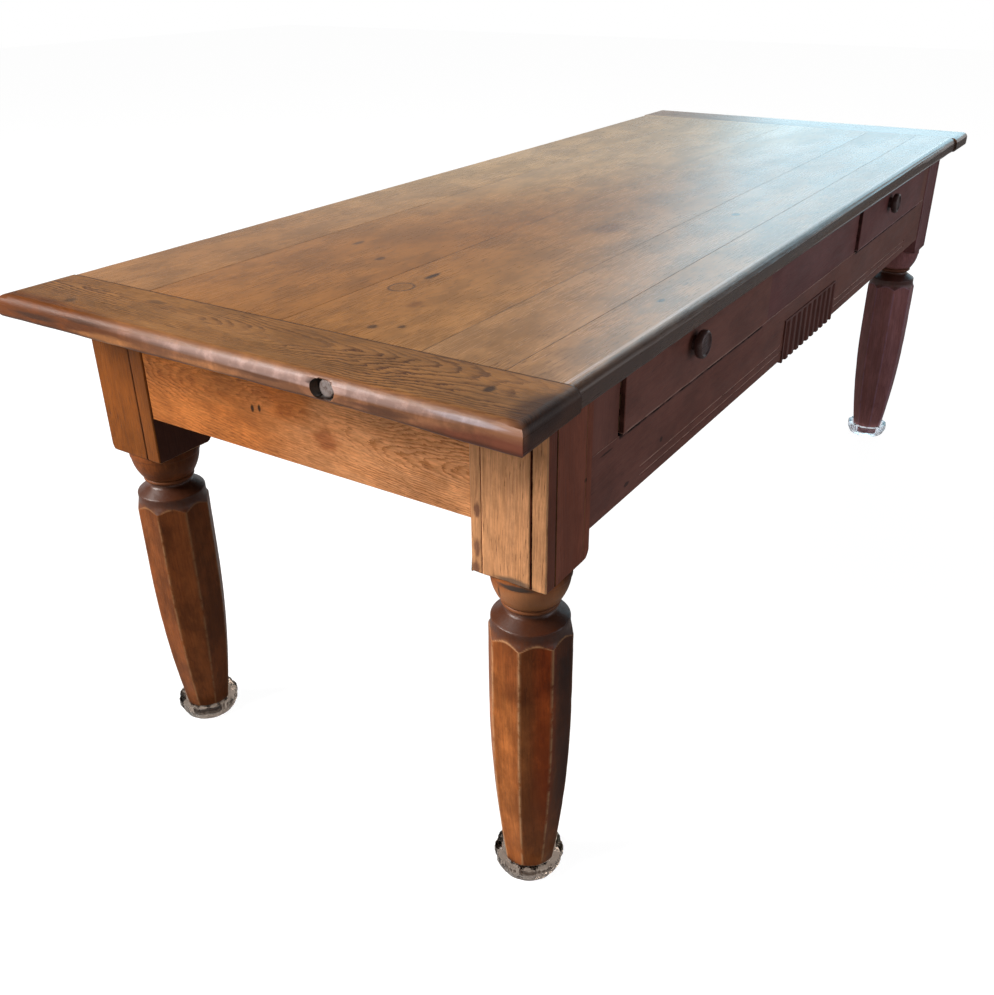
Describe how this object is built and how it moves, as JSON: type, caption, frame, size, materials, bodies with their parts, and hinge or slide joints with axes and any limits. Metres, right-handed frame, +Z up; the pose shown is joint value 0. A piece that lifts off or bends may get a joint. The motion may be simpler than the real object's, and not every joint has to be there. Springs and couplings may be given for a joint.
{
  "type": "farmhouse table",
  "caption": "Long wooden farmhouse table: plank top with breadboard ends, octagonal legs in glass caster cups, drawers in the front apron.",
  "frame": {"origin": "on the floor under the middle of the tabletop", "axes": "+Z up, +X along the table's length, the drawers open towards -Y"},
  "size_m": [2.12, 0.838, 0.775],
  "materials": {
    "top_wood": "waxed satin, worn",
    "leg_wood": "waxed satin, worn edges",
    "apron_wood": "waxed satin",
    "drawer_wood": "waxed satin",
    "inner_wood": "bare, dusty",
    "knob_wood": "dark polished",
    "bolt_steel": "dull, aged",
    "screw_steel": "dull",
    "cup_glass": "clear pressed glass"
  },
  "bodies": {
    "table": {"back_apron": "apron_wood", "bearer_left": "inner_wood", "bearer_middle": "inner_wood", "bearer_right": "inner_wood", "breadboard_bolt_left": "bolt_steel", "breadboard_bolt_right": "bolt_steel", "breadboard_left": "top_wood", "breadboard_nuts": "bolt_steel", "breadboard_right": "top_wood", "drawer_stops": "inner_wood", "end_apron_left": "apron_wood", "end_apron_right": "apron_wood", "fluted_block_back": "apron_wood", "fluted_block_front": "apron_wood", "front_panel": "apron_wood", "front_rail": "apron_wood", "front_stile_left": "apron_wood", "front_stile_right": "apron_wood", "glass_cup_back_left": "cup_glass", "glass_cup_back_right": "cup_glass", "glass_cup_front_left": "cup_glass", "glass_cup_front_right": "cup_glass", "guide_left_drawer_left": "inner_wood", "guide_left_drawer_right": "inner_wood", "guide_right_drawer_left": "inner_wood", "guide_right_drawer_right": "inner_wood", "leg_back_left": "leg_wood", "leg_back_right": "leg_wood", "leg_front_left": "leg_wood", "leg_front_right": "leg_wood", "runner_left_drawer_left": "inner_wood", "runner_left_drawer_right": "inner_wood", "runner_right_drawer_left": "inner_wood", "runner_right_drawer_right": "inner_wood", "top_plank_1": "top_wood", "top_plank_2": "top_wood", "top_plank_3": "top_wood", "top_plank_4": "top_wood", "top_plank_5": "top_wood", "top_screws": "screw_steel"},
    "drawer_left": {"drawer_left_back": "inner_wood", "drawer_left_bottom": "inner_wood", "drawer_left_front": "drawer_wood", "drawer_left_knob": "knob_wood", "drawer_left_knob_screw": "screw_steel", "drawer_left_left_side": "inner_wood", "drawer_left_right_side": "inner_wood"},
    "drawer_right": {"drawer_right_back": "inner_wood", "drawer_right_bottom": "inner_wood", "drawer_right_front": "drawer_wood", "drawer_right_knob": "knob_wood", "drawer_right_knob_screw": "screw_steel", "drawer_right_left_side": "inner_wood", "drawer_right_right_side": "inner_wood"}
  },
  "joints": [
    {"name": "drawer_left_slide", "type": "slide", "parent": "table", "child": "drawer_left", "axis": [0, -1, 0], "range_m": [0, 0.32]},
    {"name": "drawer_right_slide", "type": "slide", "parent": "table", "child": "drawer_right", "axis": [0, -1, 0], "range_m": [0, 0.32]}
  ]
}
